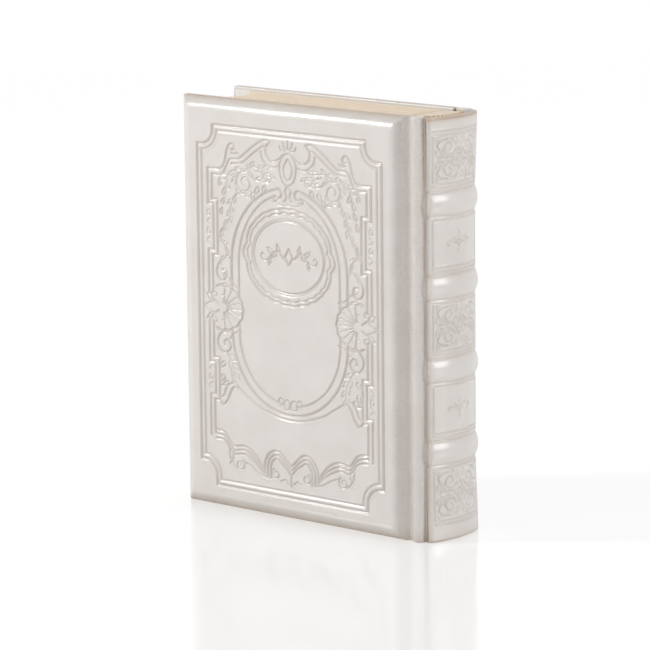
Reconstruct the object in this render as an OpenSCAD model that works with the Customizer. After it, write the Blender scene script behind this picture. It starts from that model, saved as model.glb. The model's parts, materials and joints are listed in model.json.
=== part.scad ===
// Prayer book: padded leather case binding with a raised-band spine, standing on its tail edges.
// Front cover faces -Y, spine on +X, head at +Z. All sizes in millimetres.

/* [Overall] */
// Height of the covers and the spine
book_h = 170; // [140:1:220]
// Distance between the outer edge planes of the two covers
book_t = 33.5; // [31:0.5:38]
// Fore edge to the crown of the raised bands
book_w = 132; // [115:1:160]

/* [Covers] */
// Fore edge to the end of the cover at the hinge channel
cover_w = 117; // [101:0.5:144]
// Thickness of a cover at its edge, padding left out
cover_t = 3; // [2.8:0.1:3.4]
// How far the padded panel stands proud of the edge plane
pad_rise = 3.4; // [2.5:0.1:4.5]
// Width of the padded panel's rounded edge on the three free sides
pad_run = 6; // [4:0.5:10]
// Width of the padded panel's rounded edge at the hinge channel
pad_run_hinge = 5.5; // [4:0.5:10]
// How far the padded edge dips below the edge plane at the hinge channel
pad_dip = 0.9; // [0:0.1:1]
// Thickness of the cover leather
leather_t = 0.8; // [0.4:0.1:0.9]
// Width of the turned-in leather that shows round the pastedown inside a cover
turn_in = 1.2; // [1:0.1:8]
// Thickness of the pastedown paper and of the leather turned in beside it
paste_t = 0.3; // [0.2:0.05:0.4]

/* [Hinges] */
// Hinge axis of a cover, measured from the fore edge
hinge_from_fore = 118.4; // [102:0.1:146]
// Depth of the leather in the hinge channel below the edge plane
channel_in = 1.5; // [1.2:0.1:2]
// Radius of the moulded shoulder beside the channel
shoulder_r = 3; // [2.5:0.1:3.2]
// Centre of the shoulder, measured from the fore edge
shoulder_from_fore = 121.5; // [105:0.1:150]
// How far the shoulder stands proud of the edge plane
shoulder_proud = 1; // [0.5:0.1:1.5]

/* [Spine] */
// Outer radius of the rounded spine
spine_r = 34; // [30:0.5:60]
// Half width of the spine leather
spine_half = 15.8; // [15.2:0.1:16.4]
// Height of a raised band above the spine leather
band_rise = 1.3; // [0.8:0.1:2]
// Width of a raised band
band_w = 9.6; // [6:0.1:12]
// Thickness of the spine leather
spine_leather_t = 0.9; // [0.6:0.1:1]
// Thickness of the card under the spine leather
inlay_t = 1.1; // [0.8:0.1:1.3]
// How far the card stops short of the sides of the spine leather
inlay_in = 2; // [0.8:0.1:3]
// How far the cores of the raised bands stop short of the sides of the spine leather
core_in = 1.4; // [0.9:0.1:3]
// Height of the lowest raised band's centre above the tail
band_first = 36; // [30:0.5:40]
// Distance between the centres of the raised bands
band_pitch = 33.2; // [28:0.1:40]

/* [Text block] */
// Number of sections, half of them opening with each cover
section_count = 8; // [4:2:8]
// Gap between a cover's inside and the first section
block_gap = 0.5; // [0.45:0.05:0.8]
// Distance that the text block stops short of the covers at head and tail
head_square = 1.2; // [0.8:0.1:4]
// Distance from the fore edge to the outermost leaves
fore_square = 9; // [3:0.5:14]
// Depth of the hollow of the fore edge
fore_hollow = 8; // [1:0.5:10]
// Fore edge to the gutter line, where the leaves bend
gutter_from_fore = 113; // [97:0.5:139]
// Radius of the rounded back of the text block
back_r = 16.9; // [16:0.1:30]
// Crown of the text block's back, measured inwards from the spine crown
back_in = 3.1; // [2.9:0.1:5]
// How far the flyleaves bend nearer to the spine than the sections
flyleaf_past = 1.2; // [1:0.1:1.5]
// Thickness of a flyleaf
flyleaf_t = 0.26; // [0.1:0.02:0.3]
// Gap between two sections
section_gap = 0.1; // [0.05:0.05:0.2]
// Half thickness of a section at the gutter line
root_r = 0.3; // [0.2:0.05:0.35]
// Length over which a section narrows to the gutter line
root_run = 4; // [3.5:0.5:14]
// Radius of the roll of a head band
headband_r = 0.6; // [0.4:0.05:0.7]

/* [Hidden] */
fore_x = -book_w / 2;
edge_y = book_t / 2;
crown_x = book_w / 2 - band_rise;
spine_cx = crown_x - spine_r;
in_y = edge_y - cover_t;
board_t = cover_t - paste_t - leather_t;
block_y = in_y - block_gap;
hinge_x = fore_x + hinge_from_fore;
gutter_x = fore_x + gutter_from_fore;
section_pitch = 2 * block_y / section_count;
block_z = book_h - 2 * head_square;
back_cx = crown_x - back_in - back_r;
glue = 0.1;
inlay_r = spine_r - spine_leather_t - glue;
band_r = (band_w * band_w / 4 + band_rise * band_rise) / (2 * band_rise);
band_cr = spine_r + band_rise - band_r;
fine = 96;

// Centre line of section n, counted from the front
function section_y(n) = -block_y + (n - 0.5) * section_pitch;

// Fore edge of a leaf at distance y from the middle of the block: the hollow is deepest there
function leaf_fore(y) = fore_x + fore_square + fore_hollow * (1 - pow(y / block_y, 2));

// Outline of a rounded pad: base line at y0, sides up to the edge plane, then a quarter round
function pad_profile(a0, a1, y0, y1, rise, run0, run1, dip1, n = 8) = concat(
  [[a0, y0]],
  [for (i = [0:n]) [a0 + run0 * (1 - cos(90 * i / n)), y1 + rise * sin(90 * i / n)]],
  [for (i = [n:-1:0])
    [a1 - run1 * (1 - cos(90 * i / n)), y1 - dip1 + (rise + dip1) * sin(90 * i / n)]],
  [[a1, y0]]);

module at_front() mirror([0, 1, 0]) children();

// A rounded pad on the back cover's side, drawn in by d on every free face
module pad(d, y0) {
  x0 = fore_x + d;
  x1 = fore_x + cover_w - d;
  y1 = edge_y - d;
  intersection() {
    linear_extrude(height = book_h)
      polygon(pad_profile(x0, x1, y0, y1, pad_rise, pad_run, pad_run_hinge, pad_dip));
    translate([fore_x, 0, 0]) rotate([90, 0, 90]) linear_extrude(height = cover_w)
      polygon([for (p = pad_profile(d, book_h - d, y0, y1, pad_rise, pad_run, pad_run, 0))
        [p[1], p[0]]]);
  }
}

module cover_leather() {
  difference() {
    pad(0, in_y);
    pad(leather_t, in_y + paste_t);
    pastedown_box(0, 1);
  }
}

module pastedown_box(gap, over) {
  translate([fore_x + turn_in + gap, in_y - over, turn_in + gap])
    cube([cover_w - turn_in - leather_t - 2 * gap, paste_t + over, book_h - 2 * turn_in - 2 * gap]);
}

module cover_board() {
  translate([fore_x + leather_t, in_y + paste_t, leather_t])
    cube([cover_w - 2 * leather_t - 0.2, board_t, book_h - 2 * leather_t]);
}

module cover_padding() intersection() {
  pad(leather_t, in_y + paste_t);
  translate([fore_x, in_y + paste_t + board_t, 0]) cube([cover_w, cover_t + pad_rise, book_h]);
}

module cover_pastedown() pastedown_box(0, 0);

// Leather across the hinge channel
module joint_leather() {
  x0 = fore_x + cover_w;
  x1 = fore_x + shoulder_from_fore - shoulder_r;
  translate([x0, edge_y - channel_in - leather_t / 2, 0]) cube([x1 - x0, leather_t, book_h]);
}

// Moulded shoulder between the hinge channel and the spine
module shoulder() {
  x = fore_x + shoulder_from_fore;
  intersection() {
    translate([x, edge_y + shoulder_proud - shoulder_r, 0])
      cylinder(h = book_h, r = shoulder_r, $fn = fine);
    translate([x - 10, block_y + 0.4, 0]) cube([20, 20, book_h]);
  }
}

// A slice of a ring about the spine's centre line
module spine_ring(r0, r1, y0, y1, z0, z1) {
  intersection() {
    translate([spine_cx, 0, z0]) difference() {
      cylinder(h = z1 - z0, r = r1, $fn = fine);
      translate([0, 0, -1]) cylinder(h = z1 - z0 + 2, r = r0, $fn = fine);
    }
    translate([spine_cx, y0, z0 - 1]) cube([spine_r + 20, y1 - y0, z1 - z0 + 2]);
  }
}

// A raised band bent round the spine: everything inside radius r of the band's own round
module band_ring(n, r, r_from, half) {
  z = band_first + (n - 1) * band_pitch;
  intersection() {
    translate([spine_cx, 0, z]) rotate_extrude($fn = fine) intersection() {
      translate([band_cr, 0]) circle(r = r, $fn = fine);
      translate([r_from, -band_w]) square([20, 2 * band_w]);
    }
    translate([spine_cx, -half, z - band_w]) cube([spine_r + 20, 2 * half, 2 * band_w]);
  }
}

module spine_leather() color("white") {
  difference() {
    union() {
      spine_ring(inlay_r + glue, spine_r, -spine_half, spine_half, 0, book_h);
      for (n = [1:4]) band_ring(n, band_r, spine_r - spine_leather_t / 2, spine_half);
    }
    for (n = [1:4])
      band_ring(n, band_r - spine_leather_t, inlay_r - 1, spine_half - core_in + glue);
  }
  for (s = [0, 1]) mirror([0, s, 0])
    spine_ring(inlay_r - inlay_t, spine_r, spine_half - 0.7, spine_half, 0, book_h);
}

module spine_inlay() color("tan")
  spine_ring(inlay_r - inlay_t, inlay_r, -spine_half + inlay_in, spine_half - inlay_in, leather_t,
    book_h - leather_t);

module raised_band(n) color("tan")
  band_ring(n, band_r - spine_leather_t - glue, inlay_r + glue / 2, spine_half - core_in);

module raised_band_1() raised_band(1);
module raised_band_2() raised_band(2);
module raised_band_3() raised_band(3);
module raised_band_4() raised_band(4);

module front_shoulder() color("white") at_front() shoulder();
module back_shoulder() color("white") shoulder();

// The sewn and glued backs of the sections, from the gutter line to the rounded back
module sewn_backs() color("ivory") intersection() {
  translate([back_cx, 0, head_square]) cylinder(h = block_z, r = back_r, $fn = fine);
  translate([gutter_x + 0.7, -block_y, 0]) cube([40, 2 * block_y, book_h]);
}

// A thin layer bent round the back of the text block
module back_layer(r0, r1, z0, z1, half) intersection() {
  translate([back_cx, 0, z0]) difference() {
    cylinder(h = z1 - z0, r = r1, $fn = fine);
    translate([0, 0, -1]) cylinder(h = z1 - z0 + 2, r = r0, $fn = fine);
  }
  translate([back_cx, -half, z0 - 1]) cube([back_r + 5, 2 * half, z1 - z0 + 2]);
}

module spine_lining() color("beige")
  back_layer(back_r + 0.05, back_r + 0.4, 14, book_h - 14, block_y - 0.5);

// Roll of a head band on the end of the block, with its tape glued behind
module end_band() {
  half = block_y - 2;
  intersection() {
    translate([back_cx, 0, book_h - head_square]) rotate_extrude($fn = fine)
      translate([back_r + 0.4 - headband_r, headband_r]) circle(r = headband_r, $fn = 24);
    translate([back_cx, -half, book_h / 2]) cube([back_r + 5, 2 * half, book_h]);
  }
  back_layer(back_r + 0.05, back_r + 0.4, book_h - 13, book_h - head_square + headband_r, half);
}

module head_band() color("khaki") end_band();
module tail_band() color("khaki") translate([0, 0, book_h]) mirror([0, 0, 1]) end_band();

module front_board() color("gray") at_front() cover_board();
module front_padding() color("lightyellow") at_front() cover_padding();
module front_leather() color("white") at_front() cover_leather();
module front_pastedown() color("snow") at_front() cover_pastedown();
module front_joint_leather() color("white") at_front() joint_leather();
module back_board() color("gray") cover_board();
module back_padding() color("lightyellow") cover_padding();
module back_leather() color("white") cover_leather();
module back_pastedown() color("snow") cover_pastedown();
module back_joint_leather() color("white") joint_leather();

module flyleaf() {
  y = in_y - block_gap / 2;
  x = fore_x + fore_square;
  translate([x, y - flyleaf_t / 2, head_square])
    cube([gutter_x + flyleaf_past - x, flyleaf_t, block_z]);
}

module front_flyleaf() color("snow") at_front() flyleaf();
module back_flyleaf() color("snow") flyleaf();

// One section of leaves: full thickness, narrowing to its own hinge line at the gutter
module section(n) color("ivory") {
  y = section_y(n);
  half = (section_pitch - section_gap) / 2;
  x = leaf_fore(y);
  translate([0, y, head_square]) {
    linear_extrude(height = block_z) polygon([[x, -half], [gutter_x - root_run, -half],
      [gutter_x, -root_r], [gutter_x, root_r], [gutter_x - root_run, half], [x, half]]);
    translate([gutter_x, 0, 0]) cylinder(h = block_z, r = root_r, $fn = 24);
  }
}

module section_1() section(1);
module section_2() section(2);
module section_3() section(3);
module section_4() section(4);
module section_5() section(5);
module section_6() section(6);
module section_7() section(7);
module section_8() section(8);

spine_leather();
spine_inlay();
raised_band_1();
raised_band_2();
raised_band_3();
raised_band_4();
front_shoulder();
back_shoulder();
sewn_backs();
spine_lining();
head_band();
tail_band();
front_board();
front_padding();
front_leather();
front_pastedown();
front_joint_leather();
back_board();
back_padding();
back_leather();
back_pastedown();
back_joint_leather();
front_flyleaf();
back_flyleaf();
section_1();
section_2();
section_3();
section_4();
section_5();
section_6();
section_7();
section_8();
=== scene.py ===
"""Prayer book in a padded pearl leather binding: final surfaces, materials, light and camera."""
import json
import math

import bpy
import numpy as np
from mathutils import Matrix, Vector


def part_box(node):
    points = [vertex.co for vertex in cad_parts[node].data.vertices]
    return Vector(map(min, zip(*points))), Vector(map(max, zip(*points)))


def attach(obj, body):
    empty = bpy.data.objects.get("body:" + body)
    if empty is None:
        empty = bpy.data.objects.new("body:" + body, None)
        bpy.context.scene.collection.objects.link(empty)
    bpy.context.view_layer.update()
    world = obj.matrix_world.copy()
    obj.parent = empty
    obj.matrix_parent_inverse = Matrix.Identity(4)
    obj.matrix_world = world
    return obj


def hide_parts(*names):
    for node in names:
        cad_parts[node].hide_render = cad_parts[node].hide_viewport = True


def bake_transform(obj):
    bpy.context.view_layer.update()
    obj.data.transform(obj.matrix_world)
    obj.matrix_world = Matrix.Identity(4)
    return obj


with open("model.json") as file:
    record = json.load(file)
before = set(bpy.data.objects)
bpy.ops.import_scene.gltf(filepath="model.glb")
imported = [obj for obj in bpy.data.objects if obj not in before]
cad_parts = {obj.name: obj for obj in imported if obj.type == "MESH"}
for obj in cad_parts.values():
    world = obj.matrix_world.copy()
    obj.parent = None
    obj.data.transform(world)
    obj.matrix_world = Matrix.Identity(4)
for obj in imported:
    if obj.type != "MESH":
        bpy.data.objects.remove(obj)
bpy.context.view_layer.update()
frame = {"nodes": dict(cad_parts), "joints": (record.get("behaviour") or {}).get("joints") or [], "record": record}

MM = 0.001
BODY_OF = {n: b for b, nodes in frame["record"]["behaviour"]["bodies"].items() for n in nodes}


def box_mm(node):
    """A CAD node's box at rest, in millimetres."""
    lo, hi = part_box(node)
    return np.array(lo) / MM, np.array(hi) / MM


# -------- sizes taken from the frame, in mm
COVER_LO, COVER_HI = box_mm("back_leather")
PASTE_LO, PASTE_HI = box_mm("back_pastedown")
BOARD_LO, BOARD_HI = box_mm("back_board")
SHOULDER_LO, SHOULDER_HI = box_mm("back_shoulder")
SPINE_HI = box_mm("spine_leather")[1]
INLAY_HI = box_mm("spine_inlay")[1]
BACKS_HI = box_mm("sewn_backs")[1]
HEIGHT = COVER_HI[2]
INNER_Y = COVER_LO[1]
BOARD_TOP_Y = BOARD_HI[1]
LEATHER_T = BOARD_LO[0] - COVER_LO[0]
EDGE_Y = BOARD_TOP_Y + LEATHER_T
PAD_TOP_Y = COVER_HI[1]
PAD_RISE = PAD_TOP_Y - EDGE_Y
TURN_IN = PASTE_LO[0] - COVER_LO[0]

# -------- sizes of the soft shapes, in mm
PAD_RUN = 6.0  # width of the padding's rise along three sides of a cover
HINGE_RUN = 5.5  # its width beside the hinge
HINGE_DIP = 0.9  # how far it falls below the edge there
PAD_POWER = 1.7  # how round the rise is
MITRE_POWER = 5.0  # how sharp the rises meet at the corners
CORNER_R = 0.8
DRAWING_SHIFT = 0.6  # the embossing sits this far towards the hinge
COVER_DEPTH = 1.15  # deepens the drawing on the covers
SPINE_DEPTH = 1.35  # and on the spine
GROOVE_SHADE_FROM = 0.05  # grooves deeper than this get painted shade
GROOVE_SHADE_TINT = 1.15  # strength of the painted shade for each further mm

GRAIN_STEP = 0.25  # spacing of the points on embossed leather


# -------- drawing with grooves
class Relief:
    """A field of depth over a grid, drawn with round-bottomed grooves whose banks stand up a little."""
    FAR = 9.0  # distances from a line are in its widths; this is beyond every bank
    REACH = 3.6  # how far from a line its groove and banks are worked out
    BANK, BANK_AT, BANK_SPREAD = 0.34, 1.75, 0.6
    BUMP_REACH = 2.5  # in radii of a mound

    def __init__(self, us, zs):
        self.us, self.zs = us, zs
        self.near = np.full((len(us), len(zs)), self.FAR)
        self.depth = np.zeros((len(us), len(zs)))
        self.lift = np.zeros((len(us), len(zs)))

    def window(self, u0, u1, z0, z1):
        i0, i1 = np.searchsorted(self.us, [u0, u1])
        j0, j1 = np.searchsorted(self.zs, [z0, z1])
        return slice(i0, i1), slice(j0, j1)

    def line(self, pts, w=0.58, depth=0.42, mirror=True, taper=False):
        """A groove along pts. With taper it thins out to its end."""
        pts = np.asarray(pts, float)
        for side in ((1, -1) if mirror else (1,)):
            p = pts * (side, 1)
            n = len(p) - 1
            for k in range(n):
                ww = w * (1 - 0.6 * k / n) if taper else w
                self._segment(p[k], p[k + 1], ww, depth)

    def _segment(self, a, b, w, depth):
        reach = self.REACH * w
        si, sj = self.window(min(a[0], b[0]) - reach, max(a[0], b[0]) + reach,
                             min(a[1], b[1]) - reach, max(a[1], b[1]) + reach)
        if si.start >= si.stop or sj.start >= sj.stop:
            return
        u = self.us[si][:, None] - a[0]
        z = self.zs[sj][None, :] - a[1]
        d = b - a
        t = np.clip((u * d[0] + z * d[1]) / max(d @ d, 1e-9), 0, 1)
        r = np.hypot(u - t * d[0], z - t * d[1]) / w
        closer = r < self.near[si, sj]
        self.near[si, sj] = np.where(closer, r, self.near[si, sj])
        self.depth[si, sj] = np.where(closer, depth, self.depth[si, sj])

    def clear(self, inside):
        """Smooths away what is drawn where inside(|u|, z) is true."""
        keep = ~inside(np.abs(self.us)[:, None], self.zs[None, :])
        self.near = np.where(keep, self.near, self.FAR)
        self.lift = self.lift * keep

    def bump(self, c, r, height, mirror=True):
        """A soft round mound."""
        for side in ((1, -1) if mirror else (1,)):
            reach = self.BUMP_REACH * r
            si, sj = self.window(side * c[0] - reach, side * c[0] + reach, c[1] - reach, c[1] + reach)
            u = self.us[si][:, None] - side * c[0]
            z = self.zs[sj][None, :] - c[1]
            self.lift[si, sj] += height * np.exp(-(u * u + z * z) / (r * r))

    def result(self):
        """The height of the surface at every point of the grid."""
        groove = np.exp(-self.near ** 2.6)
        bank = self.BANK * np.exp(-((self.near - self.BANK_AT) / self.BANK_SPREAD) ** 2)
        return self.depth * (bank - groove) + self.lift


def spline(*pts, n=10):
    """A smooth curve through the points (Catmull-Rom)."""
    p = np.array([pts[0], *pts, pts[-1]], float)
    out = []
    for k in range(1, len(p) - 2):
        a, b, c, d = p[k - 1:k + 3]
        for t in np.arange(n) / n:
            out.append(0.5 * (2 * b + (c - a) * t + (2 * a - 5 * b + 4 * c - d) * t * t
                              + (3 * b - a - 3 * c + d) * t ** 3))
    return np.array([*out, p[-1]])


def path(*parts):
    """Lines and points joined end to end."""
    return np.concatenate([np.atleast_2d(np.array(q, float)) for q in parts])


def arc(c, rx, rz, a0, a1, n=40):
    """Part of an ellipse, from angle a0 to a1 in degrees."""
    a = np.radians(np.linspace(a0, a1, n))
    return np.stack([c[0] + rx * np.cos(a), c[1] + rz * np.sin(a)], 1)


def spiral(c, r0, r1, a0, turn, n=36):
    """A spiral from radius r0 at angle a0 inwards to r1 after turn degrees."""
    t = np.linspace(0, 1, n)
    r, a = r0 + (r1 - r0) * t, np.radians(a0 + turn * t)
    return np.stack([c[0] + r * np.cos(a), c[1] + r * np.sin(a)], 1)


def leaf(root, length, angle, fat=0.3, curl=0.35, n=12):
    """The outline of a curled leaf from its root out to its tip and back."""
    a = math.radians(angle)
    t = np.linspace(0, 1, n)
    half = fat * length * np.sin(math.pi * t ** 0.8) * (1 - 0.35 * t)
    bend = curl * length * t * t
    up = np.stack([length * t, bend + half], 1)
    down = np.stack([length * t, bend - half], 1)[::-1]
    p = np.concatenate([up, down])
    ca, sa = math.cos(a), math.sin(a)
    return p @ np.array([[ca, sa], [-sa, ca]]) + np.array(root)


def leaves(f, places, fat=0.3, curl=0.3, w=0.36, depth=0.4):
    """Single leaves, each given by its place across and up, its length and its angle."""
    for u, z, size, angle in places:
        f.line(leaf((u, z), size, angle, fat, curl), w=w, depth=depth)


# -------- the cover's blind embossing
def notched_frame(half_w, z0, z1, r, notch):
    """Right half of a frame whose corners are cut by concave rounds of radius r about the notch point."""
    nu, top, low = notch
    return path((0, z1), (nu - r, z1), arc((nu, top), r, r, 183, 270, 16), (half_w, top - r),
                (half_w, low + r), arc((nu, low), r, r, 90, 177, 16), (nu - r, z0), (0, z0))


def emboss_frames(f):
    """The double outer frame, the stepped inner one and the curves that close it at the top."""
    notch = (47.0, 157.4, 12.8)
    f.line(notched_frame(48.9, 9.2, 159.0, 6.5, notch), w=0.62, depth=0.5)
    f.line(notched_frame(46.5, 11.5, 156.8, 8.8, notch), w=0.55, depth=0.4)
    # stepped inner frame, two grooves side by side
    f.line(path((43.4, 29.6), (43.4, 47.2), (40.5, 47.2), (40.5, 61.0), (43.4, 61.0), (43.4, 107.6),
                (40.5, 107.6), (40.5, 126.6), (43.4, 126.6), (43.4, 141.2), (37.2, 141.2)),
           w=0.52, depth=0.45)
    f.line(path((41.1, 31.0), (41.1, 45.2), (38.3, 45.2), (38.3, 63.0), (41.1, 63.0), (41.1, 105.6),
                (38.3, 105.6), (38.3, 128.6), (41.1, 128.6), (41.1, 138.8), (36.4, 138.8)),
           w=0.52, depth=0.45)
    # shoulders: up to the volute, along the S-curve and down to the crest
    f.line(spline((37.2, 141.2), (35.2, 142.4), (33.7, 145.4), (32.8, 149.2), (31.4, 151.7),
                  (29.6, 152.0), (28.7, 150.6), (29.3, 149.3), (30.3, 149.6)), w=0.5)
    f.line(spline((36.4, 138.8), (34.3, 140.4), (32.7, 143.6), (31.2, 145.6), (28.8, 146.0),
                  (26.4, 146.3), (24.0, 147.9), (20.0, 150.9), (15.5, 153.8), (12.2, 155.0),
                  (9.4, 154.4)), w=0.5)
    f.line(spline((30.2, 143.9), (28.2, 144.1), (25.0, 144.6), (22.6, 146.0), (18.6, 149.0),
                  (14.6, 151.6), (12.4, 152.4)), w=0.5)
    f.line(spline((9.4, 154.4), (11.6, 152.2), (11.2, 148.8), (8.3, 146.8), (4.8, 147.8),
                  (2.6, 149.6), (0, 150.3)), w=0.5)
    f.line(spline((14.4, 150.2), (13.2, 146.9), (9.4, 144.4), (5.6, 144.9)), w=0.45)
    f.line(spline((27.0, 148.6), (28.6, 147.9), (30.2, 148.2)), w=0.4)


def emboss_arch(f):
    """The tall double oval band round the medallion."""
    top, low = (0, 103.2), (0, 75.2)
    f.line(path(arc(low, 30.8, 31.7, -90, 0, 50), arc(top, 30.8, 33.0, 0, 81, 50),
                spline((4.9, 135.8), (3.6, 134.6), (3.9, 132.6), (5.4, 132.0))), w=0.58, depth=0.5)
    f.line(path(arc(low, 26.9, 28.0, -83, 0, 50), arc(top, 26.9, 30.5, 0, 76, 50),
                spline((6.5, 132.8), (7.9, 131.9), (7.4, 130.5), (6.2, 130.9))), w=0.52, depth=0.45)
    f.line(spline((27.6, 51.3), (22.5, 48.2), (16.8, 45.0), (7.0, 42.1), (0, 41.4), n=16),
           w=0.5, depth=0.4)
    # double bud where the band meets itself below, and the pair of curls above
    f.line(arc((1.9, 47.6), 1.7, 2.0, 0, 360, 24), w=0.4)
    f.line(spline((3.6, 49.2), (5.4, 50.0), (6.3, 48.2), (4.6, 47.0)), w=0.4)
    f.line(spline((2.2, 131.0), (0.9, 133.0), (1.6, 135.4), (0.4, 137.0)), w=0.42)
    f.line(spline((0, 129.6), (2.6, 129.2), (5.6, 129.6)), w=0.42, depth=0.3)


def scallops(points, bulge):
    """A line through the points that swells outwards, to the left of its way, between them."""
    out = []
    for a, b in zip(points, points[1:]):
        a, b = np.array(a, float), np.array(b, float)
        side = np.array([-(b - a)[1], (b - a)[0]])
        for t in np.arange(8) / 8:
            out.append(a + (b - a) * t - side * bulge * 4 * t * (1 - t))
    return np.array([*out, points[-1]])


def sprig(f, stem, step=2.5, size=3.2, w=0.34, depth=0.38):
    """Leaves along a stem, on its two sides in turn."""
    d = np.hypot(*np.diff(stem, axis=0).T)
    at = np.concatenate([[0], np.cumsum(d)])
    for k, t in enumerate(np.arange(step, at[-1], step)):
        i = min(np.searchsorted(at, t) - 1, len(d) - 1)
        way = stem[i + 1] - stem[i]
        p = stem[i] + way * (t - at[i]) / d[i]
        side = 1 if k % 2 else -1
        angle = math.degrees(math.atan2(way[1], way[0])) + 50 * side
        f.line(leaf(p, size * (1 - 0.3 * t / at[-1]), angle, 0.3, -0.3 * side), w=w, depth=depth)
        f.bump(p + way / d[i] * 0.5 * step, 0.45 * size, 0.12)


def emboss_motif(f, cz):
    """A lozenge between leafy scrolls, in place of the title."""
    for side in (1, -1):
        f.line([(0, cz + 3.4 * side), (2.1, cz)], w=0.5, depth=0.5)
    f.line(spline((2.9, cz - 0.6), (5.4, cz + 1.7), (8.4, cz + 1.2), (10.8, cz - 1.4), (13.2, cz - 2.2),
                  (15.0, cz - 0.6), (14.0, cz + 0.8), (12.9, cz - 0.1)), w=0.46, depth=0.5, taper=True)
    leaves(f, ((5.0, cz + 1.5, 3.6, 62), (8.2, cz + 1.2, 3.6, 20), (6.8, cz + 1.6, 3.4, -62),
               (10.4, cz - 1.0, 3.2, -96)), fat=0.26, curl=0.2, w=0.4, depth=0.44)
    f.bump((0, cz), 1.0, 0.2, mirror=False)


def emboss_medallion(f, motif):
    """An oval label with a scalloped rim and a row of beads. The motif is on the front cover only."""
    cz = 108.4
    for a0, a1 in ((0, 90), (-90, 0)):
        f.line(arc((0, cz), 18.6, 14.8, a0, a1, 60), w=0.5, depth=0.46)
        f.line(arc((0, cz), 19.5, 15.7, a0, a1, 60), w=0.34, depth=0.3)
    rim = [(24.4, 0), (22.2, 4.0), (21.4, 8.4), (18.5, 12.4), (15.6, 15.0), (11.2, 17.3), (5.8, 18.7),
           (0, 19.4)]
    ledge = [(22.0, 0), (20.2, 3.4), (19.7, 7.4), (17.2, 11.0), (14.4, 13.4), (10.4, 15.5), (5.4, 16.9),
             (0, 17.5)]
    for pts, w, bulge in ((rim, 0.55, 0.1), (ledge, 0.42, 0.16)):
        p = scallops(pts, bulge) + (0, cz)
        f.line(p, w=w, depth=0.46)
        f.line(np.stack([p[:, 0], 2 * cz - p[:, 1]], 1), w=w, depth=0.46)
    for k in range(-9, 10):
        a = math.radians(k * 9.2)
        f.bump((21.6 * math.cos(a), cz + 17.1 * math.sin(a)), 1.1, 0.13)
    if motif:
        emboss_motif(f, cz)


def emboss_crest(f):
    """The bud at the top of the arch, with a few blades over it."""
    cz = 143.6
    f.line(spline((0, cz - 6.2), (2.6, cz - 4.8), (4.3, cz - 0.6), (4.0, cz + 3.6), (1.9, cz + 6.2),
                  (0, cz + 6.9)), w=0.45)
    f.line(spline((0, cz - 4.0), (1.7, cz - 2.2), (2.2, cz + 0.8), (1.1, cz + 3.4), (0, cz + 4.6)),
           w=0.42)
    f.bump((0, cz), 1.7, 0.3, mirror=False)
    f.line([(0, cz + 8.2), (0, cz + 12.0)], w=0.4, mirror=False)
    f.line(spline((0.6, cz + 8.4), (2.0, cz + 9.6), (2.6, cz + 11.4)), w=0.38)
    f.line(spline((1.4, cz + 7.8), (3.6, cz + 8.2), (4.4, cz + 9.6)), w=0.38)


def emboss_sprays(f):
    """Leaf scrolls between the crest and the arch, and down the side columns."""
    eye = (23.4, 136.8)
    f.line(spiral(eye, 5.2, 1.0, 150, -600), w=0.46, taper=True)
    sprig(f, spiral(eye, 6.0, 4.4, 170, -330), 2.5, 3.0)
    f.bump(eye, 1.1, 0.3)
    stems = [spline((18.6, 139.4), (16.2, 138.2), (13.6, 139.4), (12.0, 141.6), (9.6, 141.4),
                    (8.9, 139.2), (10.4, 137.9)),
             spline((22.0, 142.4), (18.4, 143.6), (14.6, 143.2), (11.6, 144.6)),
             spline((27.6, 141.6), (31.2, 140.4), (34.2, 137.0), (36.6, 137.6)),
             spline((27.0, 132.2), (29.6, 129.6), (31.0, 126.0), (31.4, 122.6), (32.8, 119.4),
                    (34.8, 117.6))]
    for stem in stems:
        f.line(stem, w=0.44, depth=0.46)
        sprig(f, stem, 2.3, 3.4)
    leaves(f, ((16.0, 135.8, 4.0, -78), (19.4, 133.0, 3.6, -120), (12.6, 136.4, 3.6, -95),
               (31.4, 133.6, 3.6, 42), (34.6, 130.6, 3.4, 84), (36.6, 134.4, 3.0, 70)), curl=0.35)
    # upper side column: tendrils and a hooked scroll
    hook = spline((34.8, 117.6), (36.6, 115.4), (36.2, 112.0), (34.0, 109.8), (32.6, 107.2),
                  (34.6, 104.8), (37.6, 102.6), (39.0, 99.4), (38.2, 96.4), (35.8, 95.4), (33.9, 97.2),
                  (34.3, 99.6), (36.1, 99.9))
    f.line(hook, w=0.48, depth=0.48)
    sprig(f, hook[:60], 2.6, 2.8)
    leaves(f, ((35.6, 126.8, 3.0, 96), (36.4, 122.4, 3.0, 86), (35.4, 98.0, 2.6, 200)))
    # lower side column: a matching scroll and feathered leaves by the ear
    hook = spline((32.2, 74.4), (35.6, 74.2), (38.4, 72.0), (38.8, 68.6), (36.4, 65.8), (33.4, 66.2),
                  (31.9, 68.6), (33.4, 70.8), (35.4, 70.0), (35.0, 68.4))
    f.line(hook, w=0.48, depth=0.48)
    f.bump((34.6, 69.2), 1.0, 0.25)
    tail = spline((34.0, 65.6), (31.8, 62.4), (30.4, 59.4), (29.6, 56.0), (29.8, 53.4))
    f.line(tail, w=0.44, depth=0.46)
    sprig(f, tail, 1.9, 4.2)
    leaves(f, ((35.4, 61.6, 3.8, -60), (36.0, 56.4, 4.0, -80), (33.6, 53.6, 4.0, -48)),
           fat=0.28, depth=0.42)
    f.line(spline((27.6, 51.3), (30.4, 51.6), (32.4, 49.2), (34.0, 46.0), (36.4, 43.6), (38.3, 45.2)),
           w=0.52, depth=0.5)
    f.line(spline((31.8, 53.0), (34.6, 51.0), (36.0, 47.8), (37.6, 46.4)), w=0.42)


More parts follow.
